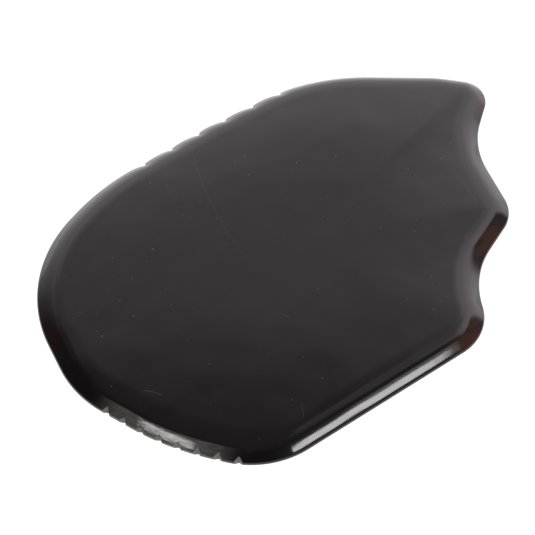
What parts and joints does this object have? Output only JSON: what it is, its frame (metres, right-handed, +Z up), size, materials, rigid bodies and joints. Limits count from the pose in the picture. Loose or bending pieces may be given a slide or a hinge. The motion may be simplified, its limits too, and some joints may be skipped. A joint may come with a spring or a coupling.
{
  "type": "gua sha scraper",
  "caption": "Hand-held gua sha plate of polished dark horn: rounded end, straight edge, two scallops between rounded tips, and rows of V notches along its edge.",
  "frame": {"origin": "on the underside, below the middle of the bounding box", "axes": "+X along the long straight edge, towards the tips; +Y towards the edge with the coarse notches; +Z up through the thickness"},
  "size_m": [0.11, 0.075, 0.0067],
  "materials": {
    "polished_horn": "polished near-black horn, brown and slightly translucent at the thin edges, with unpolished grey notch walls"
  },
  "bodies": {
    "root": {"horn_plate": "polished_horn"}
  },
  "joints": []
}
